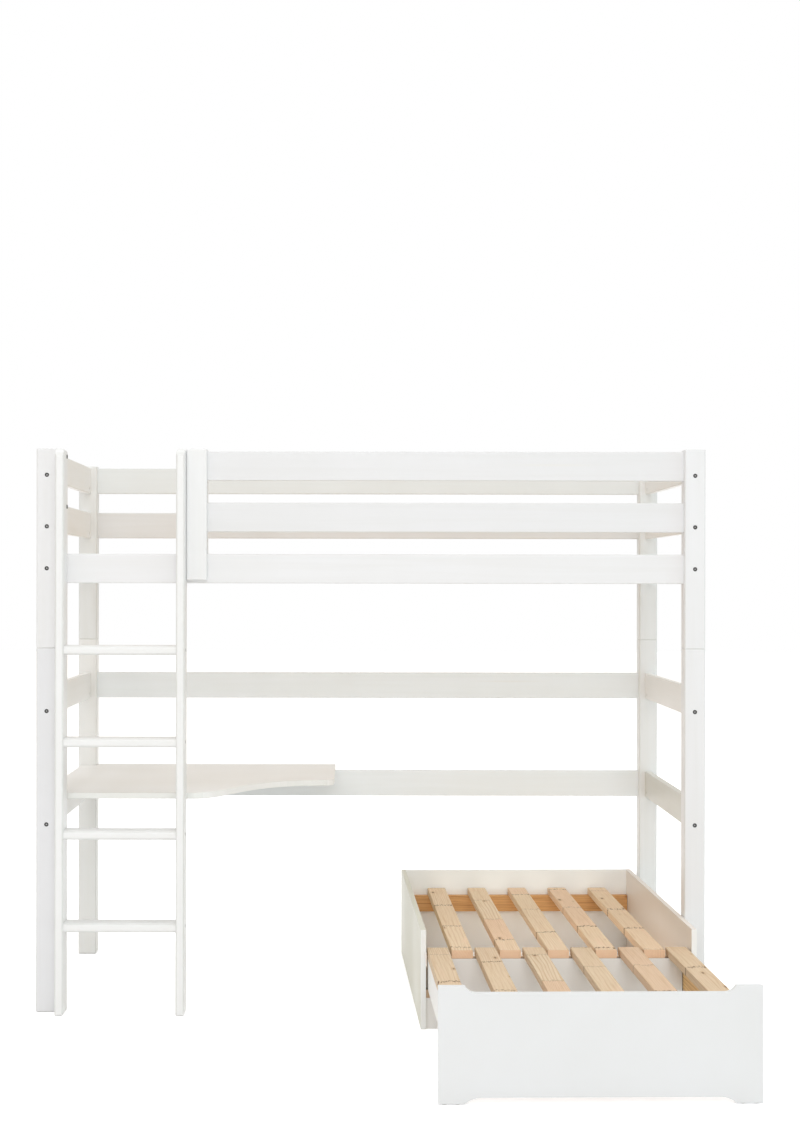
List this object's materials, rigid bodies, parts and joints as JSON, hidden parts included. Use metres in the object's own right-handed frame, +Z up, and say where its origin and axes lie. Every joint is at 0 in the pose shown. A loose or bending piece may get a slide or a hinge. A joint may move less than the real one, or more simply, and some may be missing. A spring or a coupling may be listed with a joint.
{
  "type": "cabin bed",
  "caption": "High cabin bed on square posts with slatted base, guard rails, fixed ladder, wavy corner desk top and a pull-out slatted lounge standing below.",
  "frame": {"origin": "on the floor, under the middle of the bounding box of the bed with its lounge extended", "axes": "+X along the bed's length, from the ladder end to the lounge end; +Y from the ladder side towards the wall; +Z up"},
  "size_m": [2.09, 2.0378, 1.762],
  "materials": {
    "white_lacquer": "satin white lacquer over solid pine, grain faintly visible",
    "natural_pine": "planed natural pine, finger-jointed, open matt",
    "dark_steel": "burnished dark steel, slightly glossy",
    "felt": "pressed felt"
  },
  "bodies": {
    "frame": {"front_left_lower_post": "white_lacquer", "front_left_upper_post": "white_lacquer", "front_right_lower_post": "white_lacquer", "front_right_upper_post": "white_lacquer", "rear_left_lower_post": "white_lacquer", "rear_left_upper_post": "white_lacquer", "rear_right_lower_post": "white_lacquer", "rear_right_upper_post": "white_lacquer", "post_dowels": "natural_pine", "front_side_rail": "white_lacquer", "front_lower_guard_rail": "white_lacquer", "front_upper_guard_rail": "white_lacquer", "guard_post": "white_lacquer", "rear_desk_rail": "white_lacquer", "rear_middle_rail": "white_lacquer", "rear_side_rail": "white_lacquer", "rear_lower_guard_rail": "white_lacquer", "rear_upper_guard_rail": "white_lacquer", "left_desk_rail": "white_lacquer", "left_middle_rail": "white_lacquer", "left_side_rail": "white_lacquer", "left_lower_guard_rail": "white_lacquer", "left_upper_guard_rail": "white_lacquer", "right_desk_rail": "white_lacquer", "right_middle_rail": "white_lacquer", "right_side_rail": "white_lacquer", "right_lower_guard_rail": "white_lacquer", "right_upper_guard_rail": "white_lacquer", "rail_bolts": "dark_steel", "barrel_nuts": "dark_steel", "rail_dowels": "natural_pine", "wood_screws": "dark_steel", "front_slat_ledger": "natural_pine", "rear_slat_ledger": "natural_pine", "bed_slats": "natural_pine", "ladder_left_stringer": "white_lacquer", "ladder_right_stringer": "white_lacquer", "ladder_rung_1": "white_lacquer", "ladder_rung_2": "white_lacquer", "ladder_rung_3": "white_lacquer", "ladder_rung_4": "white_lacquer", "ladder_bolts": "dark_steel", "rung_bolts": "dark_steel", "desk_top": "white_lacquer", "lounge_left_panel": "white_lacquer", "lounge_right_panel": "white_lacquer", "lounge_back_panel": "white_lacquer", "lounge_cross_board": "white_lacquer", "lounge_back_ledger": "natural_pine", "lounge_runners": "natural_pine", "lounge_slats": "natural_pine", "lounge_screws": "dark_steel"},
    "pullout": {"pullout_front_panel": "white_lacquer", "pullout_front_ledger": "natural_pine", "pullout_left_rail": "white_lacquer", "pullout_right_rail": "white_lacquer", "pullout_rear_rail": "natural_pine", "pullout_slats": "natural_pine", "pullout_screws": "dark_steel", "pullout_glides": "felt"}
  },
  "joints": [
    {"name": "lounge_pullout", "type": "slide", "parent": "frame", "child": "pullout", "axis": [-0.0218, 0.9998, 0], "range_m": [0, 0.794]}
  ]
}
